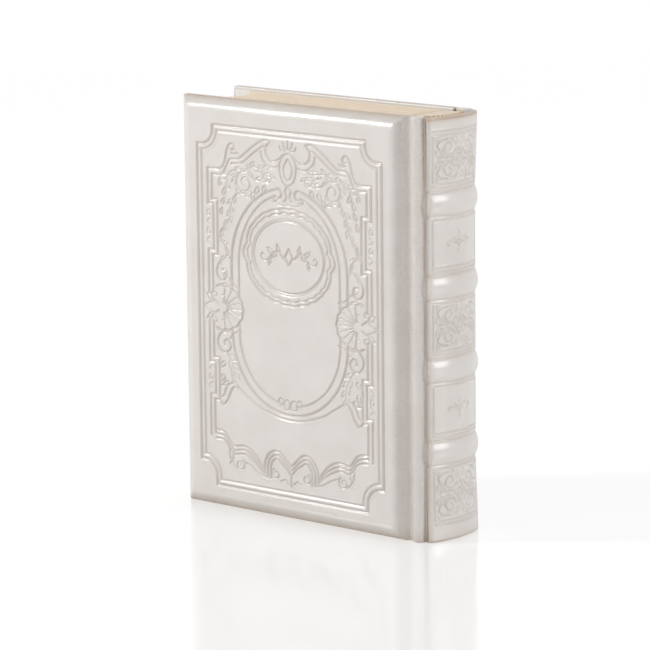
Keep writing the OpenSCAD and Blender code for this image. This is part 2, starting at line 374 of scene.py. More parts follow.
def emboss_shells(f):
    """Scallop shells half way up each side, fanning inwards, with a pointed outer finial."""
    cu, cz, a, b = 36.6, 84.0, 11.4, 8.8
    f.clear(lambda u, z: (((u - cu) / (a + 0.4)) ** 2 + ((z - cz) / (b + 0.4)) ** 2 < 1) & (u < cu + 3))
    f.clear(lambda u, z: (np.abs(u - 41.5) < 4.6) & (np.abs(z - cz) < 5.6))
    f.line(scallops(arc((cu, cz), a, b, 76, 284, 10), 0.2), w=0.46, depth=0.5)
    f.line(arc((cu + 1.0, cz), 0.55 * a, 0.6 * b, 100, 260, 30), w=0.34, depth=0.36)
    ribs = 8
    for k in range(ribs + 1):
        t = math.radians(100 + 160 * k / ribs)
        end = np.array([cu + (a - 1.2) * math.cos(t), cz + (b - 0.9) * math.sin(t)])
        start = np.array([cu - 0.6, cz]) + 0.25 * (end - np.array([cu, cz]))
        f.line([start, end], w=0.4, depth=0.46)
        t += math.radians(10)
        if k < ribs:
            f.bump((cu + 0.8 * a * math.cos(t), cz + 0.8 * b * math.sin(t)), 1.3, 0.32)
            f.bump((cu + 0.55 * a * math.cos(t), cz + 0.55 * b * math.sin(t)), 1.1, 0.2)
    f.bump((cu + 0.4, cz), 1.4, 0.3)
    for side in (1, -1):
        f.line(spline((cu + 1.6, cz + 1.2 * side), (40.4, cz + 2.4 * side), (43.4, cz + 1.4 * side),
                      (46.6, cz)), w=0.44, depth=0.46)
        f.line(spiral((40.4, cz + 5.0 * side), 2.2, 0.6, -100 * side, 400 * side), w=0.4, taper=True)
        f.line(leaf((41.6, cz + 2.8 * side), 4.0, 48 * side, 0.28, -0.2 * side), w=0.36, depth=0.4)
        f.line(spline((31.6, cz + 9.2 * side), (35.0, cz + 10.2 * side), (38.6, cz + 8.6 * side)), w=0.42)
        f.line(spline((26.0, cz + 8.6 * side), (29.6, cz + 9.8 * side), (32.2, cz + 12.4 * side)), w=0.4)
    f.bump((43.0, cz), 1.5, 0.28)


def emboss_chips(f):
    """Small lozenges and beads in the narrow outer columns."""
    for z0, z1 in ((109.6, 124.8), (49.2, 59.4)):
        n = max(2, round((z1 - z0) / 3.6))
        for k in range(n):
            z = z0 + (z1 - z0) * (k + 0.5) / n
            if k % 2:
                f.line(arc((43.2, z), 0.9, 1.2, 0, 360, 14), w=0.34, depth=0.3)
            else:
                f.line(spline((42.4, z - 1.4), (44.0, z), (42.4, z + 1.4)), w=0.34, depth=0.3)


def emboss_strapwork(f):
    """Three lines side by side that wave along the foot of the panel."""
    for k in range(3):
        d = 1.7 * k
        f.line(spline((40.6, 32.4 - d), (37.2, 32.2 - d), (34.8, 31.0 - d), (32.6, 28.2 - d),
                      (30.6, 26.7 - d), (28.0, 27.2 - d), (24.4, 27.2 - d), (19.6, 24.8 - d),
                      (15.9 - 0.3 * d, 20.6 - 0.8 * d)), w=0.5, depth=0.5)
        f.line(path(spline((0, 22.4 - 1.1 * d), (1.6, 23.6 - d), (3.4, 25.4 - d)),
                    arc((7.9, 19.6), 6.6 - d, 8.2 - d, 112, 2, 24),
                    ((14.4 - d, 17.4 - 0.4 * d),)), w=0.5, depth=0.5)
    f.line(spiral((27.8, 19.4), 2.7, 0.7, 130, 430), w=0.44, taper=True)
    f.line(spline((31.0, 24.6), (31.8, 21.0), (33.4, 19.0)), w=0.44)
    f.line(spline((33.2, 26.2), (33.4, 22.4), (31.8, 19.4), (29.4, 17.4)), w=0.44)
    f.line(spiral((8.2, 18.2), 2.4, 0.8, 60, -400), w=0.42, taper=True)
    f.line(spline((12.6, 15.8), (17.0, 17.0), (21.4, 19.4), (24.2, 20.4)), w=0.46)
    f.line(spline((1.4, 14.8), (3.2, 16.4), (5.4, 15.6)), w=0.4)
    f.line([(0, 13.8), (0, 18.0)], w=0.4, mirror=False)


def emboss_cover(us, zs, motif):
    """The whole drawing on a cover, as heights over the grid of us across and zs up."""
    f = Relief(us, zs)
    emboss_frames(f)
    emboss_arch(f)
    emboss_medallion(f, motif)
    emboss_crest(f)
    emboss_sprays(f)
    emboss_shells(f)
    emboss_chips(f)
    emboss_strapwork(f)
    return f.result()


# -------- the spine's blind embossing
BAND_Z = [sum(box_mm(f"raised_band_{n}")[k][2] for k in (0, 1)) / 2 for n in (1, 2, 3, 4)]
BAND_HALF = 4.8


def emboss_panel(f, z0, z1):
    """Scrolls and leaves that fill one spine panel, the same on both sides of its middle."""
    zc, hz = (z0 + z1) / 2, (z1 - z0) / 2
    for s in (1, -1):
        f.line([(0, zc + 0.5 * hz * s), (2.6, zc)], w=0.42)
        f.line(spiral((5.6, zc + 0.52 * hz * s), 3.4, 0.8, 200 * s, 430 * s), w=0.42, taper=True)
        f.line(spiral((10.0, zc + 0.3 * hz * s), 2.3, 0.7, 20 * s, -380 * s), w=0.38, taper=True)
        f.line(spline((2.6, zc), (5.0, zc + 0.12 * hz * s), (8.0, zc + 0.1 * hz * s),
                      (11.6, zc + 0.62 * hz * s), (9.6, zc + 0.86 * hz * s),
                      (6.6, zc + 0.9 * hz * s)), w=0.42)
        places = ((1.4, 0.6, 3.0, 66), (3.4, 0.86, 2.8, 20), (8.2, 0.5, 2.8, -60), (10.8, 0.78, 2.6, 40),
                  (6.4, 0.16, 2.6, 30), (10.6, 0.06, 2.4, 60))
        leaves(f, [(u, zc + t * hz * s, size, angle * s) for u, t, size, angle in places],
               fat=0.27, curl=0.3 * s, w=0.34, depth=0.28)
    f.line(arc((0, zc), 1.2, 1.6, 0, 360, 16), w=0.38, mirror=False)


def emboss_sprig(f, zc):
    """A small generic sprig in a plain panel."""
    f.line(arc((0, zc), 0.9, 1.1, 0, 360, 16), w=0.38, mirror=False)
    for s in (1, -1):
        f.line(leaf((0, zc + 1.8 * s), 2.6, 90 * s, 0.24, 0), w=0.34, depth=0.3, mirror=False)
    f.line(leaf((1.5, zc), 3.0, 24, 0.28, 0.25), w=0.36, depth=0.32)
    f.line(spiral((5.6, zc - 0.2), 1.4, 0.5, 160, -330), w=0.34, depth=0.3)


def emboss_spine(us, zs):
    """The spine's drawing: a ruled border in each panel, with scrolls and sprigs by turns."""
    f = Relief(us, zs)
    side = 13.6
    edges = [0.0] + [z + s * BAND_HALF for z in BAND_Z for s in (-1, 1)] + [HEIGHT]
    panels = list(zip(edges[::2], edges[1::2]))
    for k, (z0, z1) in enumerate(panels):
        at_tail, at_head = k == 0, k == len(panels) - 1
        low = z0 + (6.8 if at_tail else 1.5)
        high = z1 - (7.4 if at_head else 1.6)
        for z in (low, low + 1.5, high) + ((high + 1.6,) if at_head else ()):
            f.line([(0, z), (side, z)], w=0.42, depth=0.34)
        f.line([(side, low), (side, high)], w=0.4, depth=0.3)
        if k % 2:
            emboss_sprig(f, (low + 1.5 + high) / 2)
        else:
            emboss_panel(f, low + 2.6, high - 0.8)
    return SPINE_DEPTH * f.result()


# -------- meshes
def make_object(name, verts, faces, material, smooth=True):
    """A mesh object from points in millimetres."""
    mesh = bpy.data.meshes.new(name)
    mesh.from_pydata((np.asarray(verts, float) * MM).tolist(), [], faces)
    mesh.validate(clean_customdata=False)
    if smooth:
        mesh.polygons.foreach_set("use_smooth", np.ones(len(mesh.polygons), bool))
    mesh.materials.append(material)
    obj = bpy.data.objects.new(name, mesh)
    bpy.context.scene.collection.objects.link(obj)
    return obj


def grid_faces(nu, nv, start=0, close_u=False, close_v=False, flip=False):
    """Quads of a grid of points stored row by row, nu rows of nv points."""
    i = np.arange(nu if close_u else nu - 1)[:, None]
    j = np.arange(nv if close_v else nv - 1)[None, :]
    a = start + i * nv + j
    b = start + ((i + 1) % nu) * nv + j
    c = start + ((i + 1) % nu) * nv + (j + 1) % nv
    d = start + i * nv + (j + 1) % nv
    q = np.stack([a, b, c, d], -1).reshape(-1, 4)
    return (q[:, ::-1] if flip else q).tolist()


def set_value(obj, name, values):
    """A number for each point, which a material reads."""
    obj.data.attributes.new(name, "FLOAT", "POINT").data.foreach_set(
        "value", np.asarray(values, np.float32))


def pad_rise(distance, run, rise):
    """Height of a rounded rise at a distance from the edge where it starts."""
    a = np.clip(1 - distance / run, 0, 1)
    return rise * (1 - a ** PAD_POWER)


def round_corner(dx, dz, r):
    """Moves points near a square corner, given by their distances from its sides, onto a round one."""
    u, v = np.clip(1 - dx / r, 0, 1), np.clip(1 - dz / r, 0, 1)
    inside = (dx < r) & (dz < r)
    nx = np.where(inside, r * (1 - u * np.sqrt(1 - v * v / 2)), dx)
    nz = np.where(inside, r * (1 - v * np.sqrt(1 - u * u / 2)), dz)
    return nx, nz


def round_plan(x, z, r=CORNER_R):
    """The cover's plan with its four corners rounded alike."""
    x0, x1 = COVER_LO[0], COVER_HI[0]
    mid_x, mid_z = (x0 + x1) / 2, HEIGHT / 2
    dx = np.where(x < mid_x, x - x0, x1 - x)
    dz = np.where(z < mid_z, z, HEIGHT - z)
    nx, nz = round_corner(dx, dz, r)
    return np.where(x < mid_x, x0 + nx, x1 - nx), np.where(z < mid_z, nz, HEIGHT - nz)


def soft_waves(x, z, seed, scale):
    """Slow swells of padded leather, from a few sine waves with seeded directions."""
    rng = np.random.default_rng(seed)
    total = np.zeros(np.broadcast(x, z).shape)
    for _ in range(7):
        a, k, p = rng.uniform(0, math.pi), rng.uniform(0.5, 1.6) / scale, rng.uniform(0, 6.28)
        total += np.sin(k * (x * math.cos(a) + z * math.sin(a)) + p)
    return total / 7


def cover_height(X, Z):
    """Height of a cover's padded face before its drawing, and its flatness: 0 on the rises, 1 inside."""
    left = pad_rise(X - COVER_LO[0], PAD_RUN, PAD_RISE)
    right = pad_rise(COVER_HI[0] - X, HINGE_RUN, PAD_RISE + HINGE_DIP) - HINGE_DIP
    low, high = pad_rise(Z, PAD_RUN, PAD_RISE), pad_rise(HEIGHT - Z, PAD_RUN, PAD_RISE)
    rises = np.stack([left, right, low, high])
    short = (np.maximum(PAD_RISE - rises, 0) ** MITRE_POWER).sum(0) ** (1 / MITRE_POWER)
    Y = PAD_TOP_Y - np.minimum(short, PAD_RISE + np.where(right < 0, HINGE_DIP, 0))
    return Y, np.clip((rises.min(0) - 0.72 * PAD_RISE) / (0.25 * PAD_RISE), 0, 1)


def lip_rings():
    """The way from a cover's edge round the turned-in lip, up the board and round the foam. Each ring has
    its insets from the fore edge, the hinge edge and the head and tail, and its height."""
    t = LEATHER_T
    rings = [(0, 0, 0, INNER_Y + 0.75), (0.06, 0.05, 0.06, INNER_Y + 0.35),
             (0.3, 0.2, 0.3, INNER_Y + 0.08), (0.55, 0.4, 0.55, INNER_Y),
             (TURN_IN - 0.05, t - 0.05, TURN_IN - 0.05, INNER_Y), (TURN_IN, t, TURN_IN, INNER_Y),
             (TURN_IN, t, TURN_IN, INNER_Y + 0.04), (TURN_IN, t, TURN_IN, PASTE_HI[1]),
             (t, t + 0.2, t, PASTE_HI[1] + 0.02), (t, t + 0.2, t, BOARD_TOP_Y - 0.5)]
    steps = 7
    for k in range(1, steps + 1):
        inset = t + 5.6 * k / steps
        rise = (PAD_RISE + 0.5) * (1 - (1 - k / steps) ** PAD_POWER)
        rings.append((inset, inset + 0.2, inset, BOARD_TOP_Y - 0.5 + rise))
    return rings


def cover_skin(name, side, motif, step, material):
    """The padded leather of one cover: embossed face, rounded edges, turned-in lip and the hollow
    that the board, the foam and the pastedown fill."""
    x0, x1 = COVER_LO[0], COVER_HI[0]
    nx, nz = round((x1 - x0) / step), round(HEIGHT / step)
    xs, zs = np.linspace(x0, x1, nx), np.linspace(0, HEIGHT, nz)
    X, Z = np.meshgrid(xs, zs, indexing="ij")
    Y, flat = cover_height(X, Z)
    centre = (x0 + x1) / 2 + DRAWING_SHIFT
    relief = COVER_DEPTH * emboss_cover(xs - centre, zs, motif)
    crown = 0.1 * (1 - ((X - centre) / 58) ** 2) * (1 - (2 * Z / HEIGHT - 1) ** 2)
    Y = Y - 0.14 + flat * (relief + crown + 0.05 * soft_waves(X, Z, 3, 9.0))
    PX, PZ = round_plan(X, Z)
    verts = [np.stack([PX, side * np.minimum(Y, PAD_TOP_Y), PZ], -1).reshape(-1, 3)]
    faces = grid_faces(nx, nz, flip=side > 0)

    # rings of points that follow the face's outline, the last one closed by a single face
    index = np.arange(nx * nz).reshape(nx, nz)
    outline = np.concatenate([index[:, 0], index[-1, 1:], index[-2::-1, -1], index[0, -2:0:-1]])
    across = (X.reshape(-1)[outline] - x0) / (x1 - x0)
    up = Z.reshape(-1)[outline] / HEIGHT
    count = len(outline)
    ring_ids = [outline]
    for fore, hinge, end, y in lip_rings():
        rx = x0 + fore + across * (x1 - x0 - fore - hinge)
        rz = end + up * (HEIGHT - 2 * end)
        if fore < 1:
            rx, rz = round_plan(rx, rz)
        first = sum(len(v) for v in verts)
        verts.append(np.stack([rx, np.full(count, side * y), rz], -1))
        ring_ids.append(np.arange(first, first + count))
    for lower, upper in zip(ring_ids, ring_ids[1:]):
        q = np.stack([lower, np.roll(lower, -1), np.roll(upper, -1), upper], -1)
        faces += (q[:, ::-1] if side < 0 else q).tolist()
    cap = ring_ids[-1].tolist()
    faces.append(cap[::-1] if side < 0 else cap)

    verts = np.concatenate(verts)
    obj = make_object(name, verts, faces, material)
    face = nx * nz
    pressed = np.full(len(verts), 0.7)
    pressed[:face] = flat.reshape(-1)
    set_value(obj, "pressed", pressed)
    # brown along the edges: rubbed leather at the head, the fore edge and the rim ring, and painted contact shade
    # along the tail edge where the cover meets the floor
    edges = 0.8 * np.exp(-Z / 1.6) + 0.8 * np.exp((Z - HEIGHT) / 0.9) + 0.3 * np.exp((x0 - X) / 0.8)
    wear_and_shade = np.zeros(len(verts))
    wear_and_shade[:face] = np.clip(edges, 0, 1).reshape(-1)
    wear_and_shade[face:face + count] = 1.0
    set_value(obj, "wear_and_shade", wear_and_shade)
    # painted shade in the embossed grooves, darker the deeper they go
    groove_shade = np.zeros(len(verts))
    groove_shade[:face] = np.clip(GROOVE_SHADE_TINT * np.maximum(-relief - GROOVE_SHADE_FROM, 0) * flat, 0, 1).reshape(-1)
    set_value(obj, "groove_shade", groove_shade)
    return obj


# -------- materials
SILK_PITCH_M = 0.0018
CLOTH_PITCH_M = 0.0008
WAVE_PITCH = 0.314  # the wave texture repeats every 0.314 / Scale
LEATHER_BROWN = (0.66, 0.49, 0.34)  # multiplies the colour of rubbed edges, and paints shade into creases and along the foot
GROOVE_SHADE_GREY = (0.64, 0.59, 0.575)  # and paints shade into the embossed grooves


class Shader:
    """A material or world being built: makes nodes and links them."""

    def __init__(self, owner):
        owner.use_nodes = True
        self.owner, self.nodes, self.links = owner, owner.node_tree.nodes, owner.node_tree.links

    def node(self, kind, *sources, **values):
        """A new node with those properties and inputs, its first inputs linked to the sources."""
        n = self.nodes.new("ShaderNode" + kind)
        for key, value in values.items():
            if key in n.inputs:
                n.inputs[key].default_value = value
            else:
                setattr(n, key, value)
        for k, source in enumerate(sources):
            self.links.new(source, n.inputs[k])
        return n

    def attribute(self, name):
        return self.node("Attribute", attribute_name=name).outputs["Fac"]

    def place(self):
        return self.node("TexCoord").outputs["Object"]

    def surface(self, **sources):
        """Links the sockets to the surface's inputs of the same name, with _ for a space."""
        for key, source in sources.items():
            self.links.new(source, self.nodes["Principled BSDF"].inputs[key.replace("_", " ")])

    def constant(self, key, value):
        self.nodes["Principled BSDF"].inputs[key].default_value = value

    def toned(self, value, *stops):
        """A colour read off a ramp of (position, colour) stops."""
        n = self.node("ValToRGB", value)
        elements = n.color_ramp.elements
        for element, (position, colour) in zip(elements, stops):
            element.position, element.color = position, (*colour, 1)
        return n.outputs["Color"]

    def ranged(self, value, at_0, at_1):
        """A number that runs from at_0 to at_1 as the value runs from 0 to 1."""
        n = self.node("MapRange", value)
        n.inputs["To Min"].default_value = at_0
        n.inputs["To Max"].default_value = at_1
        return n.outputs["Result"]

    def tinted(self, colour, name, tint):
        """The colour multiplied by a tint, as far as the mesh's attribute of that name says."""
        mix = self.node("Mix", data_type="RGBA", blend_type="MULTIPLY")
        mix.inputs["B"].default_value = (*tint, 1)
        self.links.new(colour, mix.inputs["A"])
        self.links.new(self.attribute(name), mix.inputs["Factor"])
        return mix.outputs["Result"]

    def bumped(self, height, strength, distance_m, under=None):
        """A normal bent by that height, on top of another normal if one is given."""
        n = self.node("Bump", Strength=strength, Distance=distance_m)
        self.links.new(height, n.inputs["Height"])
        if under:
            self.links.new(under, n.inputs["Normal"])
        return n.outputs["Normal"]


def srgb(r, g, b):
    """A linear colour from 0 to 255 values."""
    return tuple(((c / 255) / 12.92 if c / 255 <= 0.04045 else ((c / 255 + 0.055) / 1.055) ** 2.4)
                 for c in (r, g, b))


def leather_material(name, light, dark, roughness=0.3):
    """Pearl leather: smooth where the die pressed it, pebbled grain elsewhere."""
    s = Shader(bpy.data.materials.new(name))
    place, pressed = s.place(), s.attribute("pressed")
    mottle = s.node("TexNoise", place, Scale=55.0, Detail=4.0, Roughness=0.6)
    colour = s.toned(mottle.outputs["Fac"], (0.3, dark), (0.7, light))
    # brown: rubbed leather at rims and head, painted shade in creases, valleys and along the foot
    colour = s.tinted(colour, "wear_and_shade", LEATHER_BROWN)
    # grey: painted shade in the embossed grooves and at the feet of the bands
    colour = s.tinted(colour, "groove_shade", GROOVE_SHADE_GREY)
    pebble = s.node("TexVoronoi", place, feature="DISTANCE_TO_EDGE", Scale=1150.0)
    fine = s.node("TexNoise", place, Scale=3200.0, Detail=3.0)
    cells = s.node("Math", pebble.outputs["Distance"], operation="MINIMUM")
    cells.inputs[1].default_value = 0.25
    both = s.node("Math", fine.outputs["Fac"], operation="MULTIPLY_ADD")
    both.inputs[1].default_value = 0.35
    s.links.new(cells.outputs[0], both.inputs[2])
    grain = s.node("Math", both.outputs[0], s.ranged(pressed, 1.0, 0.03), operation="MULTIPLY")
    s.surface(Base_Color=colour, Normal=s.bumped(grain.outputs[0], 0.75, 0.0007),
              Roughness=s.ranged(pressed, roughness + 0.1, roughness))
    s.constant("Coat Weight", 0.4)
    s.constant("Coat Roughness", 0.16)
    s.constant("Specular IOR Level", 0.55)
    return s.owner


def fibre_material(name, light, dark, scale, stretch, roughness=0.85, fine=False):
    """Paper, card or foam: a noise drawn out along one direction, with a finer fibre on request."""
    s = Shader(bpy.data.materials.new(name))
    place = s.place()
    drawn = s.node("Mapping", place, Scale=stretch).outputs["Vector"]
    noise = s.node("TexNoise", drawn, Scale=scale, Detail=5.0, Roughness=0.65).outputs["Fac"]
    under = None
    if fine:
        fibre = s.node("TexNoise", place, Scale=1400.0, Detail=4.0, Roughness=0.7)
        under = s.bumped(fibre.outputs["Fac"], 0.35, 0.00005)
    s.surface(Base_Color=s.toned(noise, (0.32, dark), (0.68, light)),
              Normal=s.bumped(noise, 0.6, 0.00005, under))
    s.constant("Roughness", roughness)
    return s.owner


def weave_material(name, light, dark):
    """Woven cloth: two crossed sets of threads."""
    s = Shader(bpy.data.materials.new(name))
    place = s.place()
    threads = [s.node("TexWave", place, bands_direction=way, Scale=WAVE_PITCH / CLOTH_PITCH_M,
                      Distortion=0.6, Detail=1.0).outputs["Fac"] for way in ("Y", "Z")]
    top = s.node("Math", *threads, operation="MAXIMUM").outputs[0]
    s.surface(Base_Color=s.toned(top, (0.2, dark), (0.9, light)), Normal=s.bumped(top, 0.7, 0.0001))
    s.constant("Roughness", 0.9)
    return s.owner


def stripe_material(name, light, dark):
    """Silk wound in stripes round a head band."""
    s = Shader(bpy.data.materials.new(name))
    stripes = s.node("TexWave", s.place(), bands_direction="Y", Scale=WAVE_PITCH / SILK_PITCH_M,
                     Distortion=0.3).outputs["Fac"]
    s.surface(Base_Color=s.toned(stripes, (0.4, dark), (0.6, light)),
              Normal=s.bumped(stripes, 0.8, 0.0002))
    s.constant("Roughness", 0.45)
    return s.owner


LEATHER = leather_material("pearl_leather", srgb(227, 222, 217), srgb(220, 214, 208))
CARD = fibre_material("case_board", srgb(176, 171, 160), srgb(140, 134, 124), 900.0, (1, 1, 1))
FOAM = fibre_material("padding_foam", srgb(240, 234, 214), srgb(222, 214, 190), 1600.0, (1, 1, 1), 0.95)
ENDPAPER = fibre_material("endpaper", srgb(246, 244, 240), srgb(238, 235, 229), 700.0, (1, 1, 0.4), 0.8)
PAPER = fibre_material("book_paper", srgb(251, 241, 225), srgb(240, 222, 199), 260.0, (0.015, 14, 0.015),
                       0.82, fine=True)
CLOTH = weave_material("lining_cloth", srgb(222, 214, 190), srgb(168, 158, 134))
SILK = stripe_material("band_silk", srgb(236, 216, 178), srgb(198, 164, 118))


def dress(name, material):
    """Gives a CAD node that stays visible its final material."""
    obj = frame["nodes"][name]
    obj.data.materials.clear()
    obj.data.materials.append(material)


# -------- covers
for word, side in (("front", -1), ("back", 1)):
    step = GRAIN_STEP if side < 0 else GRAIN_STEP * 1.4
    skin = cover_skin(f"{word}_cover_skin", side, side < 0, step, LEATHER)
    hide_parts(f"{word}_leather")
    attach(skin, f"{word}_cover")
    dress(f"{word}_board", CARD)
    dress(f"{word}_padding", FOAM)
    dress(f"{word}_pastedown", ENDPAPER)
    dress(f"{word}_flyleaf", ENDPAPER)


# -------- spine
INLAY_R_OUT = 33.0  # the card's outer radius, as in part.scad
SPINE_CX = INLAY_HI[0] - INLAY_R_OUT
SPINE_R = 34.0
BAND_RISE = SPINE_HI[0] - (SPINE_CX + SPINE_R)
SPINE_IN_R = SPINE_R - 2.15
SPINE_END_ANGLE = 26.6
SPINE_EDGE_R = 1.4
END_RISE, END_IN = 1.0, 0.9  # height and depth of the rounding at head and tail
END_STEPS = (0.35, 0.7, 0.9, 1.0)  # places on it, in quarter turns


def spine_bands(Z):
    """Height of the raised bands, from 0 to 1, and the valleys along their feet."""
    band = np.zeros_like(Z)
    for z in BAND_Z:
        t = np.clip(np.abs(Z - z) / BAND_HALF, 0, 1)
        band = np.maximum(band, (1 - t * t) ** 1.15)
    valley = sum(np.exp(-((np.abs(Z - z) - BAND_HALF - 0.1) / 0.7) ** 2) for z in BAND_Z)
    return band, valley


def spine_end(radius, z, way, steps):
    """Points round one end of the spine, from its outer face at z."""
    rows = []
    for t in steps:
        a = t * math.pi / 2
        height = np.full(len(radius), z + way * END_RISE * math.sin(a))
        rows.append(np.stack([radius - END_IN * (1 - math.cos(a)), height], -1))
    return np.stack(rows, 1)


def spine_inside(count):
    """Points down the inner face of the spine, which thins out at its two ends."""
    from_end = [0.1, 0.55, 2.0, 6.0]
    rows = []
    for z in [HEIGHT - d for d in from_end] + [HEIGHT / 2] + from_end[::-1]:
        radius = SPINE_IN_R + (0.35 if 0.3 < z < HEIGHT - 0.3 else 0.75)
        rows.append(np.stack([np.full(count, radius), np.full(count, z)], -1))
    return np.stack(rows, 1)


def spine_skin(step):
    """The spine leather: outer face with bands and embossing, rounded over the ends and back down
    inside, so that it wraps the card."""
    half_angle = math.radians(SPINE_END_ANGLE)
    na = round(2 * half_angle * SPINE_R / step)
    angles = np.linspace(-half_angle, half_angle, na)
    arcs = angles * SPINE_R
    zs = np.linspace(END_RISE, HEIGHT - END_RISE, round((HEIGHT - 2 * END_RISE) / step))
    relief = emboss_spine(arcs, zs)
    A, Z = np.meshgrid(arcs, zs, indexing="ij")
    band, valley = spine_bands(Z)
    calm = 1 - band
    edge = arcs[-1] - np.abs(A)
    steep = np.clip(1 - edge / SPINE_EDGE_R, 0, 1)
    drop = SPINE_EDGE_R * (1 - np.sqrt(1 - steep ** 2))
    near_ends = np.clip((np.abs(Z - HEIGHT / 2) - 57) / 28, 0, 1)
    flare = 1.15 * near_ends * (0.25 + 0.75 * (A / arcs[-1]) ** 2)
    # the bands round off towards the two long edges
    band = band * np.sqrt(np.clip(1 - (1 - np.clip((edge + 0.9) / 3.6, 0, 1)) ** 2, 0, 1))
    R = (SPINE_R - 0.12 + 0.96 * BAND_RISE * band - 0.2 * valley * (1 - band) + calm * relief - drop
         + flare + 0.03 * soft_waves(A, Z, 5, 6.0))
    outer = np.stack([R, Z], -1)
    over_head = spine_end(R[:, -1], HEIGHT - END_RISE, 1, END_STEPS)
    under_tail = spine_end(R[:, 0], END_RISE, -1, END_STEPS[::-1])
    loop = np.concatenate([outer, over_head, spine_inside(na), under_tail], 1)
    r, z = loop[..., 0], loop[..., 1]
    a = angles[:, None]
    verts = np.stack([SPINE_CX + r * np.cos(a), r * np.sin(a), z], -1).reshape(-1, 3)
    nv = loop.shape[1]
    faces = grid_faces(na, nv, close_v=True)
    faces.append(list(range(nv)))
    faces.append([(na - 1) * nv + k for k in range(nv)][::-1])

    obj = make_object("spine_skin", verts, faces, LEATHER)
    pressed, wear_and_shade, groove_shade = np.zeros((na, nv)), np.full((na, nv), 0.6), np.zeros((na, nv))
    pressed[:, :len(zs)] = np.clip(edge / 2.5, 0, 1)
    # brown: rubbed leather along the head, painted contact shade at the tail, painted shade down the long edges
    # and at the feet of the bands
    at_ends = 0.5 * np.exp(-Z / 1.4) + np.exp((Z - HEIGHT + 1) / 0.6)
    wear_and_shade[:, :len(zs)] = np.clip(0.15 * valley * calm + at_ends + 0.25 * steep, 0, 1)
    # painted shade in the embossed grooves and at the feet of the bands
    grooves = 0.6 * GROOVE_SHADE_TINT * np.maximum(-relief * calm - GROOVE_SHADE_FROM, 0)
    groove_shade[:, :len(zs)] = np.clip(grooves + 0.25 * valley * calm, 0, 1)
    for name, values in (("pressed", pressed), ("wear_and_shade", wear_and_shade), ("groove_shade", groove_shade)):
        set_value(obj, name, values.reshape(-1))
    return obj


skin = spine_skin(GRAIN_STEP)
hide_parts("spine_leather")
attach(skin, "spine")


# -------- hinge leather
HINGE_POS_M = {j["name"]: j["pos_m"] for j in frame["joints"]}["back_cover_hinge"]
HINGE_X = HINGE_POS_M[0] / MM
FOOT_X = COVER_HI[0]  # where the cover's rise ends
CHANNEL_Y = EDGE_Y - 1.45
SHOULDER_R = (SHOULDER_HI[0] - SHOULDER_LO[0]) / 2
SHOULDER_X = (SHOULDER_HI[0] + SHOULDER_LO[0]) / 2
SHOULDER_Y = SHOULDER_HI[1] - SHOULDER_R
RIDGE_X = SHOULDER_X + 0.9  # the round ridge of leather over the shoulder
RIDGE_R = SHOULDER_R - 0.4
RIDGE_Y = SHOULDER_HI[1] - RIDGE_R
RIDGE_END = RIDGE_X + RIDGE_R


def hinge_outline():
    """The hinge leather's section as two lines: out over channel and shoulder, then back beneath."""
    bevel = EDGE_Y + pad_rise(1.4, HINGE_RUN, PAD_RISE + HINGE_DIP) - HINGE_DIP
    wall, under = SHOULDER_X - SHOULDER_R, SHOULDER_LO[1]
    channel = spline((FOOT_X - 1.4, bevel - 0.06), (FOOT_X - 0.75, EDGE_Y + 0.12),
                     (FOOT_X - 0.1, EDGE_Y - 0.62), (FOOT_X + 0.6, EDGE_Y - 1.22), (HINGE_X, CHANNEL_Y),
                     (wall - 0.1, CHANNEL_Y + 0.08), (wall + 0.35, EDGE_Y - 0.75), n=5)
    end_x = SPINE_CX + SPINE_IN_R * math.cos(math.radians(SPINE_END_ANGLE))
    end_y = SPINE_IN_R * math.sin(math.radians(SPINE_END_ANGLE))
    down = spline((RIDGE_X + 0.96 * RIDGE_R, RIDGE_Y + 0.1), (RIDGE_END + 0.12, RIDGE_Y - 0.6),
                  (end_x + 0.7, end_y - 0.15), (end_x + 1.5, end_y + 0.1), n=5)
    out = path(channel, arc((RIDGE_X, RIDGE_Y), RIDGE_R, RIDGE_R, 128, 22, 34), down)
    back = path((end_x + 0.3, end_y - 0.9), (SHOULDER_X + 2, under + 0.05),
                (SHOULDER_X - 2.4, under + 0.05), (wall, under + 0.3), (HINGE_X, CHANNEL_Y - 0.5),
                (FOOT_X + 0.3, CHANNEL_Y - 0.3), (FOOT_X - 0.9, EDGE_Y - 0.5))
    return out, back


